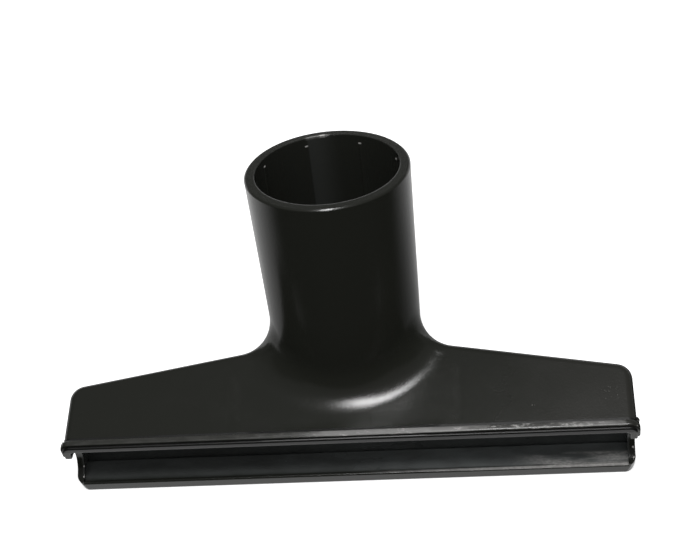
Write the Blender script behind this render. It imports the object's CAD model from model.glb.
"""Looks for a vacuum nozzle: one satin black moulding on a plain white table.

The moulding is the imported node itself. This file gives it its finish, adds the
small burrs and lint that sit on it, and lights it with one soft lamp.
"""

import logging
from dataclasses import dataclass
from enum import Enum
from math import cos, radians, sin, tan

import bpy
from mathutils import Matrix, Vector


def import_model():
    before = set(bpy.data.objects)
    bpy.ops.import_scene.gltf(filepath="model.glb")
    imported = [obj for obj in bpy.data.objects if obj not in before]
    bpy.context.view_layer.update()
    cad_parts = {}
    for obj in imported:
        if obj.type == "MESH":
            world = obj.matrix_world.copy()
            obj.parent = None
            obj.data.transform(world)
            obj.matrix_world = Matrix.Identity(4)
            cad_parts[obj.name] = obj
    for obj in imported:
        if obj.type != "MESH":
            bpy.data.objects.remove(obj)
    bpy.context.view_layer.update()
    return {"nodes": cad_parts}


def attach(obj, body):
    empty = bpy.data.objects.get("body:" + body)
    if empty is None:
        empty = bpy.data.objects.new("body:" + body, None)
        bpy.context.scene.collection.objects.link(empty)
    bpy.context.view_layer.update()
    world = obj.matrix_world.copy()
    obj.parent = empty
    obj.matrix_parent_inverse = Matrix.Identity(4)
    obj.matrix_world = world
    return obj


MM = 0.001
WHITE = (1, 1, 1, 1)
SIDE, FRONT, BACK, CEILING = 0.9, -0.75, 1.4, 0.95
FLOOR_PLAN = ((-SIDE, FRONT), (SIDE, FRONT), (SIDE, BACK), (-SIDE, BACK))
LOG = logging.getLogger("nozzle")

Number = float | int
Pair = tuple[float, float]
Triple = tuple[float, float, float]


class Blend(Enum):
    """What a mix blends."""

    COLOUR = "RGBA"
    DIRECTION = "VECTOR"


class Ray(Enum):
    """The rays that meet plain white, by their names on a Light Path node."""

    CAMERA = "Is Camera Ray"
    GLOSSY = "Is Glossy Ray"
    THROUGH = "Is Transmission Ray"


@dataclass(frozen=True)
class Sizes:
    """Sizes of the moulding that the finish and the small pieces are placed by, in millimetres."""

    axis_to_lip: float = 28.8
    roof_front: float = 19.1
    roof_slope: float = 3.5
    mouth_lean: float = 9.9
    bead_setback: float = 0.5
    bead_width: float = 1.85
    bead_low: float = 17.4
    mouth_top: float = 15.5
    half_opening: float = 68.8
    floor: float = 1.4
    land_height: float = 2.6
    lip_height: float = 3.0
    vane_offset: float = 28.3
    bore_radius: float = 17.5
    tube_rise: float = 62.6
    rib_count: int = 8
    rib_top: float = 60.5
    tube_length: float = 62.5

    @property
    def bead_back(self) -> float:
        """Distance from the mouth's plane to the back of the bead."""
        return self.bead_setback + self.bead_width

    @property
    def mouth_dir(self) -> Vector:
        """Direction that the wide mouth looks in."""
        return Vector((0, -cos(radians(self.mouth_lean)), sin(radians(self.mouth_lean))))

    @property
    def tube_dir(self) -> Vector:
        """Direction that the tube's axis rises in."""
        return Vector((0, cos(radians(self.tube_rise)), sin(radians(self.tube_rise))))

    def roof_height(self, depth: float) -> float:
        """Height of the roof at a distance from front to back."""
        return self.roof_front - (depth + self.axis_to_lip) * tan(radians(self.roof_slope))


class Shade:
    """A number that varies over a surface, written with plain operators."""

    def __init__(self, tree: "Tree", socket: bpy.types.NodeSocket | None) -> None:
        """Keep the tree and the socket.

        Args:
            tree: The tree that new nodes are added to.
            socket: The output socket that carries the number, or None where a tree ends.
        """
        self.tree = tree
        self.socket = socket

    def _math(self, operation: str, *others: "Shade | Number", flip: bool = False) -> "Shade":
        """Add one Math node.

        Args:
            operation: Name of the Math node's operation.
            others: The other operands.
            flip: True puts this number second.

        Returns:
            The node's result.
        """
        operands = [self, *others]
        if flip:
            operands.reverse()
        return self.tree.node("ShaderNodeMath", {"operation": operation}, dict(enumerate(operands)))

    def __add__(self, other: "Shade | Number") -> "Shade":
        """Sum."""
        return self._math("ADD", other)

    __radd__ = __add__

    def __sub__(self, other: "Shade | Number") -> "Shade":
        """Difference."""
        return self._math("SUBTRACT", other)

    def __rsub__(self, other: Number) -> "Shade":
        """Difference, with this number taken away."""
        return self._math("SUBTRACT", other, flip=True)

    def __mul__(self, other: "Shade | Number") -> "Shade":
        """Product."""
        return self._math("MULTIPLY", other)

    __rmul__ = __mul__

    def __truediv__(self, other: "Shade | Number") -> "Shade":
        """Quotient."""
        return self._math("DIVIDE", other)

    def __rtruediv__(self, other: Number) -> "Shade":
        """Quotient, with this number below the line."""
        return self._math("DIVIDE", other, flip=True)

    def abs(self) -> "Shade":
        """Size without its sign."""
        return self._math("ABSOLUTE")

    def least(self, other: "Shade | Number") -> "Shade":
        """The lesser of two numbers."""
        return self._math("MINIMUM", other)

    def most(self, other: "Shade | Number") -> "Shade":
        """The greater of two numbers."""
        return self._math("MAXIMUM", other)

    def root(self) -> "Shade":
        """Square root."""
        return self._math("SQRT")

    def cos(self) -> "Shade":
        """Cosine of an angle in radians."""
        return self._math("COSINE")

    def angle(self, other: "Shade") -> "Shade":
        """Angle in radians whose tangent is this number over the other."""
        return self._math("ARCTAN2", other)

    def ramp(self, low: Number, high: Number) -> "Shade":
        """Rise smoothly from 0 to 1 between two values.

        Args:
            low: Value at which the result is 0.
            high: Value at which the result is 1; below low it makes a fall.

        Returns:
            The smooth step.
        """
        if high < low:
            return 1 - self.ramp(high, low)
        settings = {"interpolation_type": "SMOOTHSTEP"}
        values = {"Value": self, "From Min": low, "From Max": high, "To Min": 0.0, "To Max": 1.0}
        return self.tree.node("ShaderNodeMapRange", settings, values)

    def band(self, low: Number, high: Number, soft: Number) -> "Shade":
        """Be 1 between two values and fall to 0 outside them.

        Args:
            low: Start of the band.
            high: End of the band.
            soft: Width of the fall at each end.

        Returns:
            The band's mask.
        """
        return self.ramp(low - soft, low) * self.ramp(high + soft, high)


class Tree:
    """A node tree that is filled through one method."""

    def __init__(self, tree: bpy.types.NodeTree) -> None:
        """Keep the tree.

        Args:
            tree: A material's, a world's or a geometry node tree.
        """
        self.tree = tree

    def node(
        self,
        kind: str,
        settings: dict | None = None,
        values: dict | None = None,
        out: str | int = 0,
    ) -> Shade:
        """Add a node of any type.

        Args:
            kind: The node's type.
            settings: Properties of the node, set before its sockets.
            values: Numbers, colours or links, by socket name or place.
            out: The output that is wanted.

        Returns:
            That output, ready for more maths.
        """
        node = self.tree.nodes.new(kind)
        for name, value in (settings or {}).items():
            setattr(node, name, value)
        for name, value in (values or {}).items():
            socket = self._live(node.inputs, name)
            if isinstance(value, Shade):
                self.tree.links.new(value.socket, socket)
            else:
                socket.default_value = value
        return Shade(self, self._live(node.outputs, out) if node.outputs else None)

    def vector(self, operation: str, values: dict, out: str | int = 0) -> Shade:
        """Add one Vector Math node.

        Args:
            operation: Name of the node's operation.
            values: Its operands, by socket name or place.
            out: The output that is wanted.

        Returns:
            That output.
        """
        return self.node("ShaderNodeVectorMath", {"operation": operation}, values, out)

    @staticmethod
    def _live(sockets: bpy.types.bpy_prop_collection, name: str | int) -> bpy.types.NodeSocket:
        """Find a socket that is in use.

        Args:
            sockets: A node's inputs or outputs.
            name: The socket's name, which unused sockets may share, or its place.

        Returns:
            The socket.
        """
        if isinstance(name, int):
            return sockets[name]
        return next((s for s in sockets if s.name == name and s.enabled), sockets[name])


class MaterialTree(Tree):
    """The tree of one material, with the patterns that its finish is made of."""

    def __init__(self, name: str) -> None:
        """Make an empty material.

        Args:
            name: The material's name.
        """
        self.material = bpy.data.materials.new(name)
        self.material.use_nodes = True
        super().__init__(self.material.node_tree)
        self.tree.nodes.clear()
        place = self.node("ShaderNodeTexCoord", out="Object")
        self.scaled = self.vector("SCALE", {0: place, "Scale": 1 / MM})

    def along(self, direction: Vector | Triple, origin: Triple = (0, 0, 0)) -> Shade:
        """Measure the distance along a direction.

        Args:
            direction: Direction of unit length.
            origin: Point where the distance is 0, in millimetres.

        Returns:
            The distance in millimetres.
        """
        start = Vector(direction).dot(Vector(origin))
        return self.vector("DOT_PRODUCT", {0: self.scaled, 1: tuple(direction)}, "Value") - start

    def noise(
        self,
        size: float,
        detail: float = 2.0,
        rough: float = 0.5,
        stretch: Triple = (1, 1, 1),
    ) -> Shade:
        """Make a random pattern.

        Args:
            size: Size of its patches in millimetres.
            detail: Number of finer layers.
            rough: Strength of the finer layers.
            stretch: Factor of each axis.

        Returns:
            Its value, about 0 to 1.
        """
        stretched = self.vector("MULTIPLY", {0: self.scaled, 1: stretch})
        values = {"Vector": stretched, "Scale": 1 / size, "Detail": detail, "Roughness": rough}
        return self.node("ShaderNodeTexNoise", values=values)

    def mix(
        self,
        factor: Shade,
        first: Shade | tuple,
        second: Shade | tuple,
        kind: Blend = Blend.COLOUR,
    ) -> Shade:
        """Blend two colours or two directions.

        Args:
            factor: 0 gives the first and 1 the second.
            first: A colour or direction.
            second: A colour or direction.
            kind: What the two are.

        Returns:
            The blended colour or direction.
        """
        values = {"Factor": factor, "A": first, "B": second}
        return self.node("ShaderNodeMix", {"data_type": kind.value}, values, "Result")

    def unit(self, vector: Shade) -> Shade:
        """Bring a direction to unit length."""
        return self.vector("NORMALIZE", {0: vector})

    def spot(self, centre: Triple, radius: float) -> Shade:
        """Mask a small round spot.

        Args:
            centre: The spot's centre in millimetres.
            radius: Its radius in millimetres.

        Returns:
            The mask.
        """
        away = self.vector("DISTANCE", {0: self.scaled, 1: centre}, "Value")
        return away.ramp(radius, 0.6 * radius)

    def finish(self, shader: Shade) -> bpy.types.Material:
        """Join a shader to the output.

        Args:
            shader: The surface's shader.

        Returns:
            The finished material.
        """
        self.node("ShaderNodeOutputMaterial", values={"Surface": shader})
        return self.material


class Measures:
    """The distances in millimetres, and the angle round the tube, that the masks are drawn by."""

    def __init__(self, tree: MaterialTree, sizes: Sizes) -> None:
        """Measure every point of the moulding.

        Args:
            tree: The material's tree.
            sizes: Sizes of the moulding.
        """
        self.across = tree.along((1, 0, 0))
        self.depth = tree.along((0, 1, 0))
        self.height = tree.along((0, 0, 1))
        self.inward = 0 - tree.along(sizes.mouth_dir, (0, -sizes.axis_to_lip, 0))
        self.up = tree.along(sizes.tube_dir)
        beside = tree.along((0, sizes.tube_dir.z, -sizes.tube_dir.y))
        self.radius = (self.across * self.across + beside * beside).root()
        self.angle = self.across.angle(beside)


@dataclass(frozen=True)
class SatinPlastic:
    """Satin black polypropylene, as moulded: fine grain, sink marks, film, rubbed bead and scuffs."""

    sizes: Sizes
    black: Triple = (0.0134, 0.0142, 0.0114)
    filmed: Triple = (0.0300, 0.0290, 0.0262)
    rubbed: Triple = (0.1500, 0.1480, 0.1440)
    scuffed: Triple = (0.5000, 0.4900, 0.4750)
    dusted: Triple = (0.1300, 0.1420, 0.1420)
    inner: Triple = (0.0400, 0.0420, 0.0400)
    grime: Triple = (0.0020, 0.0020, 0.0018)
    roughness: float = 0.19
    grain_height: float = 0.028
    wave_height: float = 0.020
    scuff_depth: float = 0.04
    sink_depth: float = 0.030
    sink_width: float = 0.9
    edge: float = 0.35
    foot: float = 3.8
    lip_nicks: tuple[Triple, ...] = (
        (-68.7, -24.0, 4.5),
        (-68.7, -26.5, 3.7),
        (69.9, -24.1, 4.6),
        (69.95, -26.4, 3.7),
    )

    def build(self) -> bpy.types.Material:
        """Make the material.

        Returns:
            The material for the whole moulding.
        """
        tree = MaterialTree("satin_black_plastic")
        at = Measures(tree, self.sizes)
        handling = tree.noise(15.0, 3.0, 0.6) - 0.5
        scuffs = self._scuffs(tree, at).most(self._nicks(tree, at))
        layers = (
            (self._film(at, handling), self.filmed, 0.05),
            (self._inside(at).most(self._bore(at)), self.inner, 0.0),
            (self._grime(tree, at), self.grime, 0.20),
            (self._dust(tree, at), self.dusted, 0.20),
            (self._rub(tree, at), self.rubbed, 0.20),
            (scuffs, self.scuffed, 0.25),
        )
        colour = (*self.black, 1)
        rough = self.roughness + 0.06 * handling
        for mask, layer, dulling in layers:
            colour = tree.mix(mask, colour, (*layer, 1))
            rough = rough + dulling * mask
        grain, waves = tree.noise(0.55, 2.0, 0.7), tree.noise(10.0, 1.0, 0.4)
        relief = self.grain_height * grain + self.wave_height * waves
        relief = relief + self._sinks(at) - self.scuff_depth * scuffs
        values = {"Strength": 1.0, "Distance": MM, "Height": relief, "Normal": self._rounded(tree, at)}
        normal = tree.node("ShaderNodeBump", values=values)
        values = {"Base Color": colour, "Roughness": rough, "IOR": 1.49, "Normal": normal}
        return tree.finish(tree.node("ShaderNodeBsdfPrincipled", values=values))

    def _rounded(self, tree: MaterialTree, at: Measures) -> Shade:
        """Round the sharp edges and ease the foot of the tube into the roof, in the shading only.

        Args:
            tree: The material's tree.
            at: The measures of the moulding.

        Returns:
            The surface's direction; inner corners keep their own.
        """
        fine = tree.node("ShaderNodeBevel", {"samples": 6}, {"Radius": self.edge * MM})
        broad = tree.node("ShaderNodeBevel", {"samples": 8}, {"Radius": self.foot * MM})
        plain = tree.node("ShaderNodeNewGeometry", out="Normal")
        back, top = self.sizes.bead_back, self.sizes.mouth_top
        corner = at.inward.band(back - 0.3, back + 0.45, 0.1) * at.height.ramp(top, top + 1.0)
        groove = at.inward.band(0.32, 0.75, 0.06) * at.height.ramp(17.0, 17.3)
        ledge = at.depth.band(-21.3, -20.2, 0.1) * at.height.ramp(3.1, 2.8)
        outer = tree.mix(corner.most(groove).most(ledge), fine, plain, Blend.DIRECTION)
        foot = at.radius.band(21.5, 36.0, 1.5) * at.height.band(16.9, 30.0, 1.0)
        foot = foot * at.depth.band(-23.5, -7.0, 2.5)
        return tree.unit(tree.mix(foot, outer, broad, Blend.DIRECTION))

    def _film(self, at: Measures, handling: Shade) -> Shade:
        """Mask the grey film on the flat roof, thicker towards one end.

        Args:
            at: The measures of the moulding.
            handling: A slow random pattern about 0.

        Returns:
            The mask.
        """
        low = self.sizes.roof_height(10.0) - 2.0
        roof = at.height.band(low, self.sizes.roof_front + 1.0, 1.5) * at.depth.ramp(12.0, 4.0)
        return (roof * (0.42 * at.across.ramp(30.0, 64.0) + 0.30 * handling)).most(0.0).least(1.0)

    def _bore(self, at: Measures) -> Shade:
        """Mask the bore of the round tube, with a paler strip beside one rib.

        Args:
            at: The measures of the moulding.

        Returns:
            The mask.
        """
        radius = self.sizes.bore_radius
        strip = at.angle.ramp(-0.39, -0.35) * at.angle.ramp(0.12, -0.30)
        within = at.radius.ramp(radius + 0.5, radius + 0.2) * at.up.ramp(20.0, 26.0)
        return within * (0.12 + 0.50 * strip)

    def _nicks(self, tree: MaterialTree, at: Measures) -> Shade:
        """Mask the pale nicks on the ribs' upper ends, the tube's far rim and the lip's end walls.

        Args:
            tree: The material's tree.
            at: The measures of the moulding.

        Returns:
            The mask.
        """
        bore, top, end = self.sizes.bore_radius, self.sizes.rib_top, self.sizes.tube_length
        ribs = (self.sizes.rib_count * at.angle).cos().ramp(-0.970, -0.998)
        ribs = ribs * at.radius.ramp(bore + 0.1, bore - 0.05) * at.up.band(top - 0.22, top, 0.10)
        rim = at.radius.band(bore + 0.05, bore + 0.5, 0.1) * at.up.ramp(end - 0.7, end - 0.3)
        rim = rim * (at.angle.band(-0.17, -0.13, 0.03) + 0.3 * at.angle.band(-0.34, -0.10, 0.08))
        return sum((tree.spot(centre, 0.3) for centre in self.lip_nicks), 0.5 * ribs + rim).least(1.0)

    def _inside(self, at: Measures) -> Shade:
        """Mask the walls inside the wide mouth, greyed by what was drawn through.

        Args:
            at: The measures of the moulding.

        Returns:
            The mask.
        """
        side = self.sizes.half_opening
        rise = at.height.band(self.sizes.floor + 0.1, self.sizes.mouth_top + 0.1, 0.4)
        return at.across.band(-side, side, 0.4) * at.depth.band(-26.0, -9.0, 1.0) * rise

    def _grime(self, tree: MaterialTree, at: Measures) -> Shade:
        """Mask the dark lines that gather in the corner behind the bead and in the groove before it.

        Args:
            tree: The material's tree.
            at: The measures of the moulding.

        Returns:
            The mask.
        """
        back, top = self.sizes.bead_back, self.sizes.mouth_top
        patches = tree.noise(6.0, 2.0, 0.6, (0.4, 1, 1)).ramp(0.30, 0.60)
        corner = at.inward.band(back + 0.05, back + 0.5, 0.35) * at.height.ramp(top, top + 1.0)
        groove = at.inward.band(-0.05, self.sizes.bead_setback + 0.1, 0.05) * at.height.ramp(17.3, 17.6)
        return corner * (0.55 + 0.45 * patches) + 0.85 * groove

    def _dust(self, tree: MaterialTree, at: Measures) -> Shade:
        """Mask the fine dust that lies on the land behind the lower lip.

        Args:
            tree: The material's tree.
            at: The measures of the moulding.

        Returns:
            The mask.
        """
        low, floor = self.sizes.land_height, self.sizes.floor
        land = at.height.ramp(low + 0.9, low + 0.5) * at.height.ramp(floor, floor + 0.5)
        land = land * at.depth.ramp(-27.6, -26.6)
        patches = tree.noise(4.5, 3.0, 0.6, (0.35, 1, 1)).ramp(0.30, 0.75)
        return (land * (0.34 + 0.56 * at.across.ramp(-30.0, 55.0)) * (0.55 + 0.6 * patches)).least(1.0)

    def _rub(self, tree: MaterialTree, at: Measures) -> Shade:
        """Mask the bead and the lip where they have rubbed along the furniture.

        Args:
            tree: The material's tree.
            at: The measures of the moulding.

        Returns:
            The mask.
        """
        low, top = self.sizes.bead_low, self.sizes.lip_height
        bead = at.inward.band(self.sizes.bead_setback + 0.35, self.sizes.bead_back - 0.1, 0.25)
        bead = bead * at.height.ramp(low, low + 1.0) * at.across.band(-68.5, 66.8, 1.2)
        spread = 0.16 + 1.1 * at.across.band(0.0, 26.0, 12.0) + 0.15 * at.across.ramp(-20.0, 10.0)
        spread = spread + 0.45 * at.across.ramp(48.0, 58.0)
        broken = tree.noise(1.1, 2.0, 0.6, (0.3, 1, 1)).ramp(0.25, 0.75)
        lip = at.inward.band(0.40, 0.85, 0.15) * at.height.band(top - 0.25, top + 0.3, 0.1)
        lip = lip * at.across.ramp(2.0, 14.0)
        return (bead * spread * (0.55 + 0.7 * broken) + 0.9 * lip * (0.5 + 0.6 * broken)).least(1.0)

    def _scuffs(self, tree: MaterialTree, at: Measures) -> Shade:
        """Mask the whitish scuffs on the bead, the lower lip and the land.

        Args:
            tree: The material's tree.
            at: The measures of the moulding.

        Returns:
            The mask.
        """
        low, floor, top = self.sizes.bead_low, self.sizes.floor, self.sizes.lip_height
        streaks = tree.noise(1.2, 3.0, 0.7, (0.35, 1, 1)).ramp(0.50, 0.68)
        fine = tree.noise(0.45, 2.0, 0.6, (0.5, 1, 1)).ramp(0.40, 0.62)
        patches = tree.noise(13.0, 1.0, 0.5, (1, 0.3, 0.3)).ramp(0.40, 0.58)
        smear = tree.noise(2.2, 3.0, 0.55, (0.16, 1, 1)).ramp(0.36, 0.66)
        bead = at.inward.band(self.sizes.bead_setback + 0.3, self.sizes.bead_back, 0.2)
        bead = bead * at.height.ramp(low, low + 1.0)
        bead = bead * (0.35 * at.across.ramp(-30.0, 5.0) + 0.65 * at.across.ramp(35.0, 55.0))
        land = at.height.ramp(top + 0.3, top) * at.height.ramp(floor, floor + 0.5)
        land = land * at.depth.band(-27.3, -24.6, 0.9) * at.across.ramp(38.0, 54.0)
        lip = at.inward.band(0.15, 0.75, 0.08) * at.height.band(top - 0.1, top + 0.1, 0.05)
        lip = lip * at.across.ramp(12.0, 42.0) * (0.8 + 0.4 * fine)
        worn = 1.5 * streaks * fine * (0.3 + patches) * bead
        return (worn + 0.42 * lip + 0.55 * smear * (0.75 + 0.5 * fine) * land).least(1.0)

    def _sinks(self, at: Measures) -> Shade:
        """Shape the two shallow sink marks on the roof over the inner ribs.

        Args:
            at: The measures of the moulding.

        Returns:
            Their depth in millimetres, below 0.
        """
        off = (at.across.abs() - self.sizes.vane_offset) / self.sink_width
        hollow = 1 / (1 + (off * off) * (off * off))
        roof = at.depth.ramp(-23.0, -20.0) * at.depth.ramp(-6.0, -9.0) * at.height.ramp(16.6, 17.2)
        return -self.sink_depth * hollow * roof


@dataclass(frozen=True)
class Lint:
    """Pale lint and dust."""

    dull: Triple = (0.20, 0.195, 0.185)
    pale: Triple = (0.42, 0.41, 0.39)

    def build(self) -> bpy.types.Material:
        """Make the material.

        Returns:
            The material.
        """
        tree = MaterialTree("pale_lint")
        shade = tree.noise(0.2, 2.0, 0.6)
        colour = tree.mix(shade, (*self.dull, 1), (*self.pale, 1))
        relief = tree.node("ShaderNodeBump", values={"Strength": 0.6, "Distance": MM, "Height": 0.05 * shade})
        values = {"Base Color": colour, "Roughness": 0.85 + 0.1 * shade, "Normal": relief}
        return tree.finish(tree.node("ShaderNodeBsdfPrincipled", values=values))


@dataclass(frozen=True)
class Burr:
    """Black plastic that was torn ragged where the mould closed, greyer than the smooth skin."""

    black: Triple = (0.014, 0.014, 0.012)
    torn: Triple = (0.070, 0.069, 0.065)

    def build(self) -> bpy.types.Material:
        """Make the material.

        Returns:
            The material.
        """
        tree = MaterialTree("torn_black_plastic")
        shade = tree.noise(0.25, 3.0, 0.6)
        colour = tree.mix(shade.ramp(0.45, 0.75), (*self.black, 1), (*self.torn, 1))
        relief = tree.node("ShaderNodeBump", values={"Strength": 0.8, "Distance": MM, "Height": 0.08 * shade})
        values = {"Base Color": colour, "Roughness": 0.38 + 0.25 * shade, "IOR": 1.49, "Normal": relief}
        return tree.finish(tree.node("ShaderNodeBsdfPrincipled", values=values))


class GrainTree(Tree):
    """Geometry nodes that strew small ragged grains through a box."""

    inputs = (
        ("Count", "NodeSocketInt"),
        ("Low Corner", "NodeSocketVector"),
        ("High Corner", "NodeSocketVector"),
        ("Least Size", "NodeSocketVector"),
        ("Greatest Size", "NodeSocketVector"),
        ("Seed", "NodeSocketInt"),
        ("Finish", "NodeSocketMaterial"),
    )
    full_turn = 6.283

    def __init__(self) -> None:
        """Build the node group."""
        group = bpy.data.node_groups.new("strewn_grains", "GeometryNodeTree")
        super().__init__(group)
        self.keys: dict[str, str] = {}
        for name, kind in self.inputs:
            socket = group.interface.new_socket(name, in_out="INPUT", socket_type=kind)
            self.keys[name] = socket.identifier
        group.interface.new_socket("Geometry", in_out="OUTPUT", socket_type="NodeSocketGeometry")
        entry = self.node("NodeGroupInput").socket.node
        given = {name: Shade(self, entry.outputs[name]) for name, _ in self.inputs}
        place = self._random(given["Low Corner"], given["High Corner"], given["Seed"])
        points = self.node("GeometryNodePoints", values={"Count": given["Count"], "Position": place})
        grain = self.node("GeometryNodeMeshIcoSphere", values={"Radius": 0.5, "Subdivisions": 2})
        offset = self.node("ShaderNodeTexNoise", values={"Scale": 2.3, "Detail": 2.0}, out="Color")
        centred = self.vector("SUBTRACT", {0: offset, 1: (0.5, 0.5, 0.5)})
        shaken = self.vector("SCALE", {0: centred, "Scale": 0.8})
        grain = self.node("GeometryNodeSetPosition", values={"Geometry": grain, "Offset": shaken})
        turn = self._random((0.0,) * 3, (self.full_turn,) * 3, given["Seed"] + 7)
        size = self._random(given["Least Size"], given["Greatest Size"], given["Seed"] + 3)
        values = {"Points": points, "Instance": grain, "Rotation": turn, "Scale": size}
        strewn = self.node("GeometryNodeInstanceOnPoints", values=values)
        solid = self.node("GeometryNodeRealizeInstances", values={"Geometry": strewn})
        values = {"Geometry": solid, "Material": given["Finish"]}
        dressed = self.node("GeometryNodeSetMaterial", values=values)
        self.node("NodeGroupOutput", values={"Geometry": dressed})

    def _random(self, low: Shade | Triple, high: Shade | Triple, seed: Shade) -> Shade:
        """Give a random vector between two.

        Args:
            low: The least value.
            high: The greatest value.
            seed: Fixes the random series.

        Returns:
            The vector, one for each point.
        """
        values = {"Min": low, "Max": high, "Seed": seed}
        return self.node("FunctionNodeRandomValue", {"data_type": "FLOAT_VECTOR"}, values)


@dataclass(frozen=True)
class Grains:
    """One strewing of grains, with its sizes in millimetres."""

    name: str
    count: int
    low: Triple
    high: Triple
    least: Triple
    greatest: Triple
    seed: int

    def build(self, tree: GrainTree, finish: bpy.types.Material) -> None:
        """Strew the grains and make them a plain mesh that rides on the moulding.

        Args:
            tree: The geometry nodes.
            finish: The grains' material.
        """
        maker = bpy.data.objects.new(self.name + "_maker", bpy.data.meshes.new(self.name + "_maker"))
        bpy.context.scene.collection.objects.link(maker)
        modifier = maker.modifiers.new("strew", "NODES")
        modifier.node_group = tree.tree
        scaled = {"Low Corner": self.low, "High Corner": self.high}
        scaled |= {"Least Size": self.least, "Greatest Size": self.greatest}
        for name, value in scaled.items():
            modifier[tree.keys[name]] = tuple(v * MM for v in value)
        modifier[tree.keys["Count"]] = self.count
        modifier[tree.keys["Seed"]] = self.seed
        modifier[tree.keys["Finish"]] = finish
        evaluated = maker.evaluated_get(bpy.context.evaluated_depsgraph_get())
        mesh = bpy.data.meshes.new_from_object(evaluated)
        maker.modifiers.remove(modifier)
        bpy.data.objects.remove(maker)
        mesh.name = self.name
        for face in mesh.polygons:
            face.use_smooth = True
        piece = bpy.data.objects.new(self.name, mesh)
        bpy.context.scene.collection.objects.link(piece)
        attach(piece, "root")
        LOG.info("%s: %d faces", self.name, len(mesh.polygons))


@dataclass(frozen=True)
class MouldMarks:
    """What sits on the moulding: torn burrs at the bead's ends and a little lint on the roof."""

    sizes: Sizes

    def build(self) -> None:
        """Make the burrs and the lint."""
        tree = GrainTree()
        torn = Burr().build()
        lint = Lint().build()
        for grains in self._burrs():
            grains.build(tree, torn)
        for grains in self._lint():
            grains.build(tree, lint)

    @staticmethod
    def _burrs() -> tuple[Grains, Grains]:
        """Place the torn burrs.

        Returns:
            The burrs at the bead's right and left ends.
        """
        right = (70.3, -23.5, 16.2), (70.7, -22.3, 18.2)
        left = (-70.4, -23.4, 17.2), (-68.8, -22.6, 18.4)
        return (
            Grains("burr_right", 30, *right, (0.25, 0.25, 0.3), (0.5, 0.5, 0.7), 4),
            Grains("burr_left", 18, *left, (0.2, 0.2, 0.2), (0.4, 0.35, 0.4), 11),
        )

    def _lint(self) -> tuple[Grains, Grains]:
        """Place the lint at the roof's height.

        Returns:
            The speck and the field of fine lint.
        """
        at = self.sizes.roof_height
        speck = (45.7, -18.3, at(-18.1)), (46.4, -17.9, at(-18.1))
        field = (62.5, -18.0, at(-13.4)), (67.6, -13.4, at(-18.0))
        return (
            Grains("lint_speck", 3, *speck, (0.1, 0.1, 0.1), (0.3, 0.2, 0.12), 5),
            Grains("lint_field", 26, *field, (0.06, 0.06, 0.05), (0.2, 0.16, 0.1), 9),
        )


@dataclass(frozen=True)
class Moulding:
    """The moulded body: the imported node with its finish."""

    sizes: Sizes
    node_name: str = "nozzle"

    def dress(self, nodes: dict[str, bpy.types.Object]) -> None:
        """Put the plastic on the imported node.

        Args:
            nodes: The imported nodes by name.
        """
        body = nodes[self.node_name]
        material = SatinPlastic(self.sizes).build()
        for slot in body.material_slots:
            slot.material = material
        LOG.info("moulding: %d faces, %d slots", len(body.data.polygons), len(body.material_slots))


@dataclass(frozen=True)
class Lamp:
    """A soft rectangular lamp."""

    name: str
    place: Triple
    target: Triple
    size: Pair
    power: float

    def build(self) -> None:
        """Hang the lamp."""
        data = bpy.data.lights.new(self.name, "AREA")
        data.shape = "RECTANGLE"
        data.size, data.size_y = self.size
        data.energy = self.power
        lamp = bpy.data.objects.new(self.name, data)
        bpy.context.scene.collection.objects.link(lamp)
        lamp.location = self.place
        lamp.rotation_euler = (Vector(self.target) - Vector(self.place)).to_track_quat("-Z", "Y").to_euler()
        LOG.info("studio: lamp %s", self.name)


@dataclass(frozen=True)
class Card:
    """A card that the glossy plastic mirrors, and that the camera doesn't see."""

    name: str
    corners: tuple[Triple, ...]
    shade: float

    @classmethod
    def upright(cls, name: str, start: Pair, end: Pair, low: float, shade: float) -> "Card":
        """Lay out a card that stands between two points and reaches up to the ceiling.

        Args:
            name: The card's name.
            start: Place of one end, from above, in metres.
            end: Place of the other end.
            low: Height of its lower edge.
            shade: Its brightness.

        Returns:
            The card.
        """
        return cls(name, ((*start, low), (*end, low), (*end, CEILING), (*start, CEILING)), shade)

    def build(self) -> None:
        """Stand the card up."""
        mesh = bpy.data.meshes.new(self.name)
        mesh.from_pydata(self.corners, [], [tuple(range(len(self.corners)))])
        card = bpy.data.objects.new(self.name, mesh)
        bpy.context.scene.collection.objects.link(card)
        tree = MaterialTree(self.name)
        level = (self.shade, self.shade, self.shade, 1)
        plain = tree.node("ShaderNodeEmission", values={"Color": level, "Strength": 1.0})
        mesh.materials.append(tree.finish(plain))
        card.visible_camera = False
        card.visible_diffuse = False
        card.visible_shadow = False
        LOG.info("studio: card %s", self.name)


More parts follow.
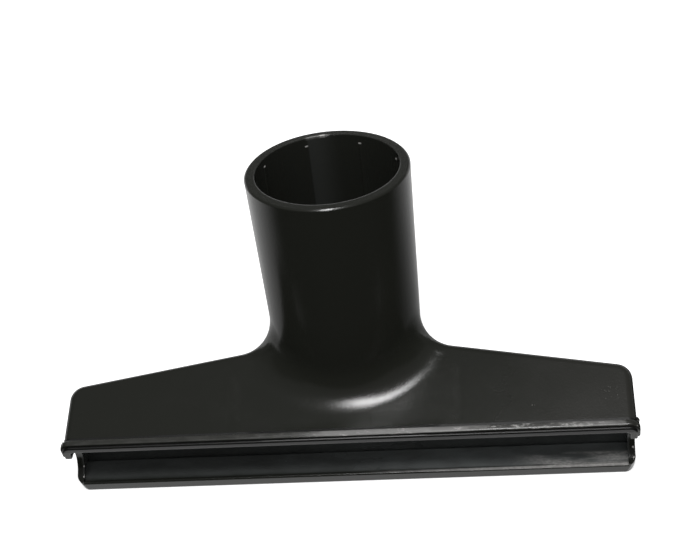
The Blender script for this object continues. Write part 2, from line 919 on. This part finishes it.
@dataclass(frozen=True)
class Studio:
    """A white table under one soft lamp, in a dim room that only reflections show."""

    half_table: float = 0.45
    table_white: float = 0.80
    glow: float = 0.70
    ambient: float = 0.40
    lamp: Lamp = Lamp("overhead", (0.028, 0.062, 0.715), (0.0, 0.0, 0.02), (0.11, 0.32), 3.5)
    cards: tuple[Card, ...] = (
        Card.upright("front_card", (-SIDE, FRONT), (SIDE, FRONT), -0.5, 0.0),
        Card.upright("left_card", (-SIDE, 0.0), (-SIDE, FRONT), -0.5, 0.0),
        Card.upright("right_card", (SIDE, FRONT), (SIDE, 0.0), -0.5, 0.0),
        Card.upright("left_wall", (-SIDE, BACK), (-SIDE, 0.0), -0.35, 0.1),
        Card.upright("right_wall", (SIDE, 0.0), (SIDE, BACK), -0.35, 0.1),
        Card.upright("back_wall", (SIDE, BACK), (-SIDE, BACK), -0.35, 0.1),
        Card("top_card", tuple((x, y, CEILING) for x, y in FLOOR_PLAN), 0.14),
    )

    def build(self) -> None:
        """Make the table, the surroundings, the lamp and the cards."""
        self._table()
        self._world()
        self.lamp.build()
        for card in self.cards:
            card.build()

    def _table(self) -> None:
        """Make the white table that keeps the object's shadow."""
        mesh = bpy.data.meshes.new("table")
        half, under = self.half_table, -0.0001
        corners = [(-half, -half, under), (half, -half, under), (half, half, under), (-half, half, under)]
        mesh.from_pydata(corners, [], [(0, 1, 2, 3)])
        table = bpy.data.objects.new("table", mesh)
        bpy.context.scene.collection.objects.link(table)
        tree = MaterialTree("white_table")
        white = (self.table_white, self.table_white, self.table_white, 1)
        diffuse = tree.node("ShaderNodeBsdfDiffuse", values={"Color": white})
        values = {"Color": WHITE, "Strength": self._seen(tree) * self.glow}
        glow = tree.node("ShaderNodeEmission", values=values)
        direct = tree.node("ShaderNodeAddShader", values={0: diffuse, 1: glow})
        values = {"Color": WHITE, "Strength": self._mirrored(tree)}
        mirrored = tree.node("ShaderNodeEmission", values=values)
        glossy = tree.node("ShaderNodeLightPath", out=Ray.GLOSSY.value)
        shader = tree.node("ShaderNodeMixShader", values={0: glossy, 1: direct, 2: mirrored})
        mesh.materials.append(tree.finish(shader))
        LOG.info("studio: table")

    @staticmethod
    def _mirrored(tree: MaterialTree) -> Shade:
        """Shade the table as the plastic mirrors it: white behind the head and just before the mouth.

        Args:
            tree: The table's material.

        Returns:
            The strength, 0 to 1.
        """
        depth = tree.along((0, 1, 0))
        behind = tree.along((-0.25, 0.97, 0)).ramp(-35.0, 85.0)
        strip = depth.band(-52.0, -28.0, 8.0) * tree.along((1, 0, 0)).band(-78.0, 78.0, 12.0)
        return behind.most(strip)

    @staticmethod
    def _seen(tree: Tree) -> Shade:
        """Tell the rays that meet plain white.

        Args:
            tree: The tree that the nodes go to.

        Returns:
            1 for rays from the camera, glossy rays and rays through glass, else 0.
        """
        camera, glossy, through = (tree.node("ShaderNodeLightPath", out=ray.value) for ray in Ray)
        return camera.most(glossy).most(through)

    def _world(self) -> None:
        """Light the surroundings evenly, and show them white."""
        world = bpy.data.worlds.new("surroundings")
        bpy.context.scene.world = world
        world.use_nodes = True
        world.node_tree.nodes.clear()
        tree = Tree(world.node_tree)
        dim = tree.node("ShaderNodeBackground", values={"Color": WHITE, "Strength": self.ambient})
        white = tree.node("ShaderNodeBackground", values={"Color": WHITE, "Strength": 1.0})
        shader = tree.node("ShaderNodeMixShader", values={0: self._seen(tree), 1: dim, 2: white})
        tree.node("ShaderNodeOutputWorld", values={"Surface": shader})
        LOG.info("studio: surroundings")


@dataclass(frozen=True)
class Viewpoint:
    """The camera's place: a high view from the front, a little to the right, tilted."""

    target: Triple = (0.002006, 0.015230, 0.025159)
    distance: float = 0.350
    azimuth: float = 12.7405
    elevation: float = 59.3777
    roll: float = -13.8756
    lens: float = 71.434

    def build(self) -> None:
        """Make the camera and give it to the scene."""
        azimuth, elevation, roll = (radians(a) for a in (self.azimuth, self.elevation, self.roll))
        back = Vector((sin(azimuth) * cos(elevation), -cos(azimuth) * cos(elevation), sin(elevation)))
        level = Vector((cos(azimuth), sin(azimuth), 0))
        upright = back.cross(level)
        right = level * cos(roll) + upright * sin(roll)
        up = back.cross(right)
        place = Vector(self.target) + back * self.distance
        data = bpy.data.cameras.new("view")
        data.lens = self.lens
        data.sensor_width = 36.0
        data.clip_start = 0.01
        camera = bpy.data.objects.new("view", data)
        bpy.context.scene.collection.objects.link(camera)
        camera.matrix_world = Matrix.Translation(place) @ Matrix((right, up, back)).transposed().to_4x4()
        bpy.context.scene.camera = camera


def main() -> None:
    """Build the pieces in order and report each."""
    logging.basicConfig(level=logging.INFO, format="%(name)s: %(message)s")
    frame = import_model()
    bpy.context.scene.view_settings.view_transform = "Standard"
    sizes = Sizes()
    Moulding(sizes).dress(frame["nodes"])
    MouldMarks(sizes).build()
    Studio().build()
    Viewpoint().build()


if __name__ == "__main__":
    main()
